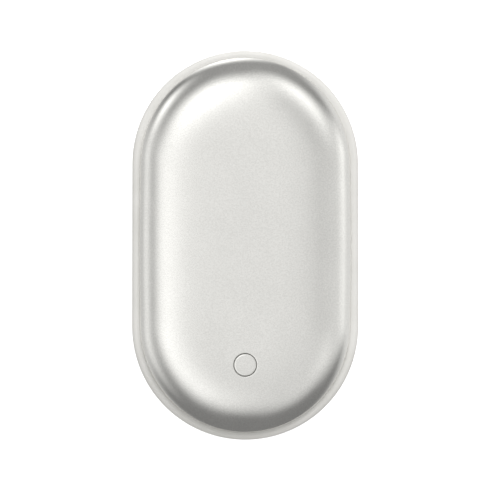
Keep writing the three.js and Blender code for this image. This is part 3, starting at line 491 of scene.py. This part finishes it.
def middle_frame():
    profile = frame_profile()
    shares = [1.0 if follows_shell(r, z) else 0.0 for r, z in profile]
    piece = sweep("middle_frame_fine", profile, shares, closed=True)
    combine(piece, port_block(), "UNION")
    combine(piece, port("usb_a_shell", USB_A_CORNER + PORT_CLEAR), "DIFFERENCE")
    usb_c_height = socket_place("usb_c_shell")[1]
    combine(piece, port("usb_c_shell", usb_c_height / 2 + PORT_CLEAR - USB_C_PORT_FLAT), "DIFFERENCE")
    outline = circle_outline(GUIDE_PIN + GUIDE_CLEAR, PIN_STEPS)
    for centre in guide_places():
        combine(piece, flared("pin_hole", outline, centre, on_band, PORT_EDGE / 2, PORT_REACH), "DIFFERENCE")
    return piece


# Sockets

def socket_shell(name, node, corner):
    """A drawn steel box, open at its mouth, with a rounded lip."""
    low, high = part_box(node)
    width, height, centre = socket_place(node)
    lip = SOCKET_WALL / 2
    stations = [(lip, high.y), (0, high.y - lip)]
    stations += arc(lip, low.y + lip, lip, 180, 360, 2 * EDGE_STEPS)
    stations.append((SOCKET_WALL, high.y - SOCKET_WALL))
    rings = []
    for inset, y in stations:
        outline = rounded_outline(width - 2 * inset, height - 2 * inset, corner - inset)
        rings.append([(centre.x + p.x, y, MIDDLE_Z + centre.y + p.y) for p, n in outline])
    return loft(name, rings)


def tongue(name, node, slab, lift, block):
    """A moulded slab with a rounded tip, on the block that closes the socket's rear."""
    low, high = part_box(node)
    x, z = (low.x + high.x) / 2, (low.z + high.z) / 2
    width, tall = high.x - low.x, high.z - low.z
    step = high.y - block
    small = TIP_ROUND / 3
    rings = []
    for y, inset in ((low.y, TIP_ROUND), (low.y + small, small), (low.y + TIP_ROUND, 0), (step, 0)):
        outline = rounded_outline(width - 2 * inset, slab - inset, TIP_ROUND)
        rings.append([(x + p.x, y, z + lift + p.y) for p, n in outline])
    for y in (step, high.y):
        outline = rounded_outline(width, tall, TIP_ROUND)
        rings.append([(x + p.x, y, z + p.y) for p, n in outline])
    return loft(name, rings)


def contact_row(name, node, level, side, pattern):
    """Gold contacts in a row on one face of a tongue, a hair proud of it, with bevelled tops."""
    count, pitch, width, start, length = pattern
    low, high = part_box(node)
    middle = (low.x + high.x) / 2
    sections = ((-CONTACT_SUNK, 0), (CONTACT_PROUD / 2, 0), (CONTACT_PROUD, CONTACT_PROUD))
    vertices, faces = [], []
    for i in range(count):
        x = middle + pitch * (i - (count - 1) / 2)
        first = len(vertices)
        for rise, inset in sections:
            for across, along in SQUARE:
                y = low.y + start + along * length + inset * (1 - 2 * along)
                vertices.append((x + across * (width / 2 - inset), y, level + side * rise))
        for face in body_faces(len(sections), len(SQUARE)):
            faces.append(tuple(first + corner for corner in face))
    return solid(name, vertices, faces)


def leaf_spring(name, x, level, side):
    """A steel leaf that bows inward from a socket's wall to grip the plug."""
    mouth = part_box("usb_a_shell")[0].y
    rings = []
    for i in range(SPRING_STEPS + 1):
        share = i / SPRING_STEPS
        y = mouth + SPRING_START + SPRING_LENGTH * share
        bow = SPRING_BOW * math.sin(math.pi * min(1, share / SPRING_BOW_SHARE) ** SPRING_LEAN)
        z = level + side * bow
        rings.append([(x + a * SPRING_WIDTH / 2, y, z + side * (b - 0.5) * SPRING_GAUGE) for a, b in SQUARE])
    return loft(name, rings)


# Light guide

def light_pin(place, root):
    """A round pin with a domed tip, just inside its window."""
    tip = on_band(place, GUIDE_TIP_INSET)[1]
    stations = []
    for i in range(EDGE_STEPS):
        turn = QUARTER * (i + 0.5) / EDGE_STEPS
        radius = GUIDE_PIN * (1 - 2 * GUIDE_DRAFT) * math.sin(turn)
        stations.append((radius, tip + GUIDE_DOME * (1 - math.cos(turn))))
    stations.append((GUIDE_PIN * (1 - GUIDE_DRAFT), root))
    z = MIDDLE_Z + place.y - GUIDE_PIN * GUIDE_DRAFT
    outline = circle_outline(1.0, PIN_STEPS)
    rings = [[(place.x + n.x * r, y, z + n.y * r) for _, n in outline] for r, y in stations]
    return loft("pin", rings)


def light_guide():
    """A bar over the LEDs with a pin to each window of the band."""
    low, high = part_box("light_guide")
    front = high.y - GUIDE_BAR_DEPTH
    places = guide_places()
    first, last = places[0].x - GUIDE_BAR_MARGIN, places[-1].x + GUIDE_BAR_MARGIN
    rings = []
    for inset, y in ((GUIDE_BEVEL, front), (0, front + GUIDE_BEVEL), (0, high.y - GUIDE_BEVEL),
                     (GUIDE_BEVEL, high.y)):
        x0, x1 = first + inset, last - inset
        z0, z1 = low.z + inset, high.z - inset
        rings.append([(x0, y, z0), (x1, y, z0), (x1, y, z1), (x0, y, z1)])
    piece = loft("light_guide_fine", rings)
    for place in places:
        combine(piece, light_pin(place, front + GUIDE_ROOT), "UNION")
    return piece


# Nodes of materials and of the sky

# A mix node's sockets for colours, by number because the other ones have the same names

MIX_COLOURS = (6, 7)
MIX_RESULT = 2


def opaque(colour):
    """A plain colour with its alpha, or a socket as it is."""
    return (*colour, 1) if isinstance(colour, tuple) else colour


class Nodes:
    """A tree of nodes with short ways to add to it."""

    def __init__(self, tree):
        self.tree = tree

    def feed(self, socket, value):
        """Links a socket to the output of a node, or sets it to a plain value."""
        if isinstance(value, bpy.types.NodeSocket):
            self.tree.links.new(value, socket)
        else:
            socket.default_value = value

    def node(self, kind, **inputs):
        made = self.tree.nodes.new(kind)
        for key, value in inputs.items():
            self.feed(made.inputs[key], value)
        return made

    def operate(self, kind, operation, values):
        made = self.node(kind)
        made.operation = operation
        for socket, value in zip(made.inputs, values):
            self.feed(socket, value)
        return made

    def math(self, operation, *values):
        return self.operate("ShaderNodeMath", operation, values).outputs[0]

    def vector_math(self, operation, *values):
        return self.operate("ShaderNodeVectorMath", operation, values)

    def spread(self, value, low, high, first=0.35, last=0.65):
        """Carries a range, by default the middle of a noise's, softly to a range of one's own."""
        made = self.node("ShaderNodeMapRange", Value=value)
        made.interpolation_type = "SMOOTHSTEP"
        for key, number in (("From Min", first), ("From Max", last), ("To Min", low), ("To Max", high)):
            made.inputs[key].default_value = number
        return made.outputs["Result"]


class Finish(Nodes):
    """A material whose colour, gloss and bump vary with noise in the piece's own coordinates."""

    def __init__(self, name, **sockets):
        self.material = bpy.data.materials.new(name)
        self.material.use_nodes = True
        super().__init__(self.material.node_tree)
        self.shader = self.tree.nodes["Principled BSDF"]
        self.place = self.node("ShaderNodeTexCoord").outputs["Object"]
        for key, value in sockets.items():
            self.shader.inputs[key.replace("_", " ").title().replace("Ior", "IOR")].default_value = value

    def noise(self, size, detail=3.0, rough=0.5, stretch=(1, 1, 1)):
        """Cloudy noise from 0 to 1 whose lumps are about a size across."""
        scaled = self.vector_math("MULTIPLY", self.place, stretch)
        made = self.node("ShaderNodeTexNoise", Vector=scaled.outputs[0], Scale=1 / size, Detail=detail,
                         Roughness=rough)
        return made.outputs["Fac"]

    def cells(self, size):
        made = self.node("ShaderNodeTexVoronoi", Vector=self.place, Scale=1 / size)
        return made.outputs["Distance"]

    def blend(self, low, high, factor):
        made = self.node("ShaderNodeMix", Factor=factor)
        made.data_type = "RGBA"
        for index, colour in zip(MIX_COLOURS, (low, high)):
            self.feed(made.inputs[index], opaque(colour))
        return made.outputs[MIX_RESULT]

    def colour(self, low, high, factor):
        self.feed(self.shader.inputs["Base Color"], self.blend(low, high, factor))

    def roughness(self, value):
        self.feed(self.shader.inputs["Roughness"], value)

    def bump(self, *layers):
        """Layers of (height value, its depth in metres), from the coarsest to the finest."""
        normal = None
        for value, depth in layers:
            made = self.node("ShaderNodeBump", Height=value, Distance=depth, Strength=1.0)
            if normal:
                self.feed(made.inputs["Normal"], normal)
            normal = made.outputs["Normal"]
        self.feed(self.shader.inputs["Normal"], normal)

    def height(self):
        """Distance from the middle plane, in metres."""
        split = self.node("ShaderNodeSeparateXYZ", Vector=self.place)
        return self.math("ABSOLUTE", self.math("SUBTRACT", split.outputs["Z"], MIDDLE_Z))

    def from_button(self):
        """Distance from the button's axis, in metres."""
        split = self.node("ShaderNodeSeparateXYZ", Vector=self.place)
        along = self.math("SUBTRACT", split.outputs["Y"], BUTTON_Y)
        across = self.math("MULTIPLY", split.outputs["X"], split.outputs["X"])
        return self.math("SQRT", self.math("ADD", across, self.math("MULTIPLY", along, along)))


# Finishes

METAL_DARK = (0.819, 0.814, 0.792)
METAL_LIGHT = (0.907, 0.902, 0.879)
METAL_ROUGHNESS = (0.20, 0.235)
GRAIN_SIZE = 0.34 * MM
GRAIN_DEPTH = 0.004 * MM
GRAIN_SHARE = 0.75
PIT_SIZE = 0.8 * MM
PIT_DEPTH = 0.0025 * MM
CLOUD_SIZE = 14 * MM
HAZE_SIZE = 6 * MM
BURNISH = 0.05
BURNISH_RISE = 2.5 * MM
# Painted shade on the wall of the button's hole: its colour, and the widths and depths over which it fades
# in
HOLE_SHADE = (0.24, 0.235, 0.22)
HOLE_SHADE_WIDTH = (0.1 * MM, 0.3 * MM)
HOLE_SHADE_DEPTH = (0.5 * MM, 0.25 * MM)


def blasted_aluminium(name):
    """Bead-blasted, clear-anodised aluminium, burnished near the shells' edges, with painted shade on the
    wall of the button's hole.
    """
    finish = Finish(name, metallic=1.0)
    grain = finish.noise(GRAIN_SIZE, 2)
    pits = finish.noise(PIT_SIZE, 2)
    cloud = finish.noise(CLOUD_SIZE, 3)
    haze = finish.noise(HAZE_SIZE, 4)
    fine, broad = finish.spread(grain, 0, GRAIN_SHARE), finish.spread(cloud, 0, 1 - GRAIN_SHARE)
    clean = finish.blend(METAL_DARK, METAL_LIGHT, finish.math("ADD", fine, broad))
    # Painted shade: the colour darkens towards HOLE_SHADE on the wall of the button's hole, under its rim
    near, far = (BUTTON_RADIUS + BUTTON_GAP + width for width in HOLE_SHADE_WIDTH)
    close = finish.spread(finish.from_button(), 1, 0, near, far)
    deeper, higher = (HALF - depth for depth in HOLE_SHADE_DEPTH)
    deep = finish.spread(finish.height(), 1, 0, deeper, higher)
    finish.colour(clean, HOLE_SHADE, finish.math("MULTIPLY", close, deep))
    wear = finish.spread(finish.height(), BURNISH, 0, CURVE_BASE, CURVE_BASE + BURNISH_RISE)
    finish.roughness(finish.math("SUBTRACT", finish.spread(haze, *METAL_ROUGHNESS), wear))
    finish.bump((pits, PIT_DEPTH), (grain, GRAIN_DEPTH))
    return finish.material


def moulded_plastic(name, low, high, roughness, grain_depth, grain_size=0.12 * MM, **sockets):
    """Injection-moulded plastic with a fine spark-eroded texture."""
    finish = Finish(name, **sockets)
    cloud = finish.noise(9 * MM, 4)
    haze = finish.noise(2.5 * MM, 4)
    waves = finish.noise(1.5 * MM, 2)
    grain = finish.noise(grain_size, 2)
    finish.colour(low, high, finish.spread(cloud, 0, 1))
    finish.roughness(finish.spread(haze, roughness - 0.04, roughness + 0.05))
    finish.bump((waves, grain_depth), (grain, grain_depth))
    return finish.material


def plain_metal(name, low, high, roughness, streak=(1, 1, 1)):
    """Rolled or plated metal with faint streaks."""
    finish = Finish(name, metallic=1.0)
    streaks = finish.noise(0.3 * MM, 4, 0.6, streak)
    haze = finish.noise(1.2 * MM, 3)
    finish.colour(low, high, finish.spread(streaks, 0, 1))
    finish.roughness(finish.spread(haze, roughness - 0.05, roughness + 0.08))
    finish.bump((streaks, 0.0006 * MM))
    return finish.material


def speckled(name, low, high, roughness, size, depth):
    """Foam, film, ferrite and the like: a fleck of its own size and bump."""
    finish = Finish(name)
    fleck = finish.cells(size)
    cloud = finish.noise(size * 8, 3)
    finish.colour(low, high, finish.spread(fleck, 0, 1, 0.1, 0.7))
    finish.roughness(finish.spread(cloud, roughness - 0.06, roughness + 0.06))
    finish.bump((cloud, depth), (fleck, depth))
    return finish.material


def clear_plastic(name):
    """Frosted clear plastic."""
    finish = Finish(name, ior=1.49, transmission_weight=0.6)
    cloud = finish.noise(1.2 * MM, 3)
    haze = finish.noise(0.5 * MM, 3)
    grain = finish.noise(0.1 * MM, 2)
    finish.colour((0.86, 0.88, 0.88), (0.93, 0.94, 0.94), finish.spread(cloud, 0, 1))
    finish.roughness(finish.spread(haze, 0.24, 0.34))
    finish.bump((grain, 0.001 * MM))
    return finish.material


aluminium = blasted_aluminium("blasted_aluminium")
off_white = moulded_plastic("off_white_plastic", (0.78, 0.77, 0.74), (0.82, 0.81, 0.785), 0.45,
                            0.0012 * MM, specular_ior_level=0.25)
black_plastic = moulded_plastic("black_plastic", (0.022, 0.024, 0.028), (0.034, 0.036, 0.04), 0.5,
                                0.003 * MM)
gold = plain_metal("gold_plating", (0.86, 0.62, 0.26), (0.93, 0.70, 0.34), 0.2)
steel = plain_metal("socket_steel", (0.60, 0.60, 0.60), (0.70, 0.70, 0.69), 0.26, (1, 0.15, 1))

# The finish that takes the place of each material of the fixed model

FINISHES = {
    "shell": aluminium,
    "button": aluminium,
    "frame": off_white,
    "inner_plastic": black_plastic,
    "plunger": moulded_plastic("plunger_plastic", (0.05, 0.05, 0.055), (0.07, 0.07, 0.075), 0.4,
                               0.002 * MM),
    "adhesive": speckled("foam_tape", (0.24, 0.25, 0.26), (0.30, 0.31, 0.32), 0.85,
                         0.2 * MM, 0.01 * MM),
    "cell_wrap": moulded_plastic("cell_wrap", (0.03, 0.13, 0.36), (0.04, 0.16, 0.42), 0.32,
                                 0.004 * MM, 0.6 * MM),
    "nickel": plain_metal("nickel_strip", (0.56, 0.54, 0.50), (0.64, 0.62, 0.58), 0.28, (0.1, 1, 1)),
    "socket_steel": steel,
    "screw": plain_metal("black_zinc", (0.05, 0.05, 0.055), (0.08, 0.08, 0.085), 0.34),
    "board": speckled("solder_mask", (0.008, 0.085, 0.04), (0.012, 0.11, 0.055), 0.36,
                      0.8 * MM, 0.002 * MM),
    "chip": moulded_plastic("chip_epoxy", (0.014, 0.014, 0.015), (0.022, 0.022, 0.023), 0.55,
                            0.004 * MM),
    "ferrite": speckled("ferrite", (0.055, 0.056, 0.06), (0.08, 0.08, 0.085), 0.6,
                        0.15 * MM, 0.008 * MM),
    "capacitor": moulded_plastic("ceramic", (0.36, 0.25, 0.13), (0.42, 0.30, 0.16), 0.45, 0.003 * MM),
    "led": clear_plastic("led_resin"),
    "guide": clear_plastic("light_guide_acrylic"),
    "tongue": moulded_plastic("tongue_plastic", (0.016, 0.016, 0.018), (0.026, 0.026, 0.028), 0.42,
                              0.002 * MM),
    "heater": speckled("polyimide_film", (0.50, 0.20, 0.03), (0.58, 0.26, 0.05), 0.3,
                       1.2 * MM, 0.002 * MM),
    "foam": speckled("insulation_foam", (0.62, 0.58, 0.48), (0.72, 0.68, 0.58), 0.9,
                     0.25 * MM, 0.03 * MM),
    "bead": moulded_plastic("thermistor_epoxy", (0.04, 0.02, 0.012), (0.06, 0.035, 0.02), 0.3,
                            0.003 * MM),
    "red_lead": moulded_plastic("red_silicone", (0.42, 0.02, 0.015), (0.50, 0.03, 0.02), 0.5,
                                0.002 * MM),
    "black_lead": moulded_plastic("black_silicone", (0.01, 0.01, 0.011), (0.018, 0.018, 0.02), 0.5,
                                  0.002 * MM),
    "white_lead": moulded_plastic("white_silicone", (0.74, 0.73, 0.70), (0.80, 0.79, 0.77), 0.5,
                                  0.002 * MM),
}

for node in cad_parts.values():
    for index, material in enumerate(node.data.materials):
        node.material_slots[index].material = FINISHES[material.name.split(".")[0]]


# Pieces

def middle_of(node):
    low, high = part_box(node)
    return (low + high) / 2


def dress(piece, material, body="case", stands_for=None):
    piece.data.materials.clear()
    piece.data.materials.append(material)
    if stands_for:
        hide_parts(stands_for)
    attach(piece, body)


dress(front_shell(), aluminium, stands_for="front_shell")
dress(shell("back_shell_fine", -1), aluminium, stands_for="back_shell")
dress(button_cap(), aluminium, body="button", stands_for="button_cap")
dress(middle_frame(), off_white, stands_for="middle_frame")
usb_c_corner = socket_place("usb_c_shell")[1] / 2 * USB_C_CORNER_SHARE
for node, corner in (("usb_a_shell", USB_A_CORNER), ("usb_c_shell", usb_c_corner)):
    dress(socket_shell(f"{node}_fine", node, corner), steel, stands_for=node)

middle = middle_of("usb_a_tongue")
level = middle.z + USB_A_LIFT - USB_A_SLAB / 2
dress(tongue("usb_a_tongue_fine", "usb_a_tongue", USB_A_SLAB, USB_A_LIFT, USB_A_BLOCK),
      FINISHES["tongue"], stands_for="usb_a_tongue")
for name, row in (("usb_a_contacts_inner", USB_A_ROW), ("usb_a_contacts_outer", USB_A_OUTER_ROW)):
    dress(contact_row(name, "usb_a_tongue", level, -1, row), gold)
low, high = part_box("usb_a_shell")
for side, wall in ((1, low.z + SOCKET_WALL), (-1, high.z - SOCKET_WALL)):
    for hand in (-1, 1):
        x = middle.x + hand * SPRING_OFFSET
        spring = leaf_spring(f"usb_a_spring_{side + 2}_{hand + 2}", x, wall, side)
        dress(spring, steel)

level = middle_of("usb_c_shell").z
dress(tongue("usb_c_tongue_fine", "usb_c_tongue", USB_C_SLAB, level - middle_of("usb_c_tongue").z,
             USB_C_BLOCK),
      FINISHES["tongue"], stands_for="usb_c_tongue")
for side in (-1, 1):
    row = contact_row(f"usb_c_contacts_{side + 2}", "usb_c_tongue", level + side * USB_C_SLAB / 2, side,
                      USB_C_ROW)
    dress(row, gold)

dress(light_guide(), FINISHES["guide"], stands_for="light_guide")


# Camera: the photograph's size in pixels, what a pixel spans, and the object's middle in it

PHOTO_PIXELS = 490
PIXEL = 0.2582 * MM
PHOTO_CENTRE = (245.2, 245.3)
TILT = math.radians(2)
LENS = 200.0
SENSOR = 36.0
NEAREST = 0.01
FARTHEST = 20

camera_data = bpy.data.cameras.new("camera")
camera_data.lens = LENS
camera_data.sensor_width = SENSOR
camera_data.shift_x = (PHOTO_PIXELS / 2 - PHOTO_CENTRE[0]) / PHOTO_PIXELS
camera_data.shift_y = (PHOTO_CENTRE[1] - PHOTO_PIXELS / 2) / PHOTO_PIXELS
camera_data.clip_start = NEAREST
camera_data.clip_end = FARTHEST
camera = new_object("camera", camera_data)
distance = LENS / SENSOR * PHOTO_PIXELS * PIXEL
camera.location = (0, -math.sin(TILT) * distance, MIDDLE_Z + math.cos(TILT) * distance)
camera.rotation_euler = (TILT, 0, 0)
bpy.context.scene.camera = camera

# A white floor that glows evenly, can be seen through from below and isn't mirrored

FLOOR_RADIUS = 4.0
FLOOR_GLOW = 0.8
FLOOR_CLOUD = 0.4

floor_mesh = bpy.data.meshes.new("floor")
floor_mesh.from_pydata([(n.x * FLOOR_RADIUS, n.y * FLOOR_RADIUS, 0) for _, n in circle_outline(1.0)], [],
                       [tuple(range(ROUND_STEPS))])
floor = new_object("floor", floor_mesh)
paper = Finish("floor_paper", roughness=0.9, specular_ior_level=0.1, emission_strength=FLOOR_GLOW)
paper.shader.inputs["Emission Color"].default_value = (1, 1, 1, 1)
paper.colour((0.93, 0.93, 0.93), (0.95, 0.95, 0.95), paper.noise(FLOOR_CLOUD))
surface = paper.node("ShaderNodeMixShader")
underside = paper.node("ShaderNodeNewGeometry").outputs["Backfacing"]
see_through = paper.node("ShaderNodeBsdfTransparent").outputs[0]
for socket, value in zip(surface.inputs, (underside, paper.shader.outputs[0], see_through)):
    paper.feed(socket, value)
paper.feed(paper.tree.nodes["Material Output"].inputs["Surface"], surface.outputs[0])
floor.data.materials.append(paper.material)
floor.visible_glossy = False
floor.visible_diffuse = False

# A sun beyond the upper end, which brightens the plastic there and isn't mirrored in the metal

LAMP_STRENGTH = 1.65
LAMP_ANGLE = math.radians(40)
LAMP_TURN = (math.radians(-45), 0, math.radians(-12))

lamp_data = bpy.data.lights.new("rear_lamp", "SUN")
lamp_data.energy = LAMP_STRENGTH
lamp_data.angle = LAMP_ANGLE
lamp = new_object("rear_lamp", lamp_data)
lamp.rotation_euler = LAMP_TURN
lamp.visible_glossy = False

# Soft boxes as seen from the object, named for where they stand as the camera sees it: the direction
# round it and the angle from straight above, half the width and half the height, all in degrees, and
# the light. Those below light it from under the horizon, as a pale table does.

SOFT_BOXES = {
    "overhead": (240, 10, 55, 30, 0.50),
    "overhead_top": (95, 15, 45, 15, 0.20),
    "top_left": (110, 35, 15, 10, 1.60),
    "top_right": (55, 50, 15, 10, 1.40),
    "top_fill": (85, 80, 35, 40, 0.12),
    "top_below": (100, 130, 10, 20, 1.75),
    "left": (180, 80, 35, 15, 0.55),
    "left_corner": (140, 85, 10, 10, 1.60),
    "left_below": (180, 140, 30, 55, 0.40),
    "right": (5, 60, 30, 20, 0.50),
    "right_strip": (10, 85, 15, 10, 0.95),
    "right_below": (15, 130, 35, 35, 0.55),
    "bottom_left": (215, 35, 25, 15, 0.55),
}
SOFT_EDGE = 35

# The light between the boxes, what the camera sees behind the object, the even light that matt
# surfaces take in place of the boxes, and the tint of them all

DIM = 0.22
BACKDROP = 1.1
DOME = 0.62
TINT = (1, 0.998, 0.985, 1)


class Sky(Nodes):
    """The light round the object, as a function of direction."""

    def __init__(self):
        world = bpy.data.worlds.new("studio")
        bpy.context.scene.world = world
        world.use_nodes = True
        super().__init__(world.node_tree)
        self.direction = self.node("ShaderNodeTexCoord").outputs["Generated"]

    def along(self, axis):
        return self.vector_math("DOT_PRODUCT", self.direction, axis).outputs["Value"]

    def inside(self, angle, half):
        """1 within a half angle and 0 beyond its soft edge."""
        first = math.radians(half - SOFT_EDGE / 2)
        last = math.radians(half + SOFT_EDGE / 2)
        return self.spread(self.math("ABSOLUTE", angle), 1, 0, first, last)

    def box(self, around, from_above, half_width, half_height, light):
        turn, fall = math.radians(around), math.radians(from_above)
        centre = Vector((math.sin(fall) * math.cos(turn), math.sin(fall) * math.sin(turn), math.cos(fall)))
        across = Vector((-math.sin(turn), math.cos(turn), 0))
        upward = centre.cross(across)
        ahead = self.along(centre)
        wide = self.math("ARCTAN2", self.along(across), ahead)
        high = self.math("ARCTAN2", self.along(upward), ahead)
        shape = self.math("MULTIPLY", self.inside(wide, half_width), self.inside(high, half_height))
        return self.math("MULTIPLY", shape, light)

    def light(self):
        total = DIM
        for box in SOFT_BOXES.values():
            total = self.math("ADD", total, self.box(*box))
        path = self.node("ShaderNodeLightPath").outputs
        for seen, even in ((path["Is Camera Ray"], BACKDROP), (path["Is Diffuse Ray"], DOME)):
            lit = self.math("MULTIPLY", self.math("SUBTRACT", 1.0, seen), total)
            total = self.math("ADD", self.math("MULTIPLY", seen, even), lit)
        background = self.tree.nodes["Background"]
        self.feed(background.inputs["Strength"], total)
        self.feed(background.inputs["Color"], TINT)


Sky().light()

scene = bpy.context.scene
scene.view_settings.view_transform = "Standard"
scene.view_settings.look = "None"
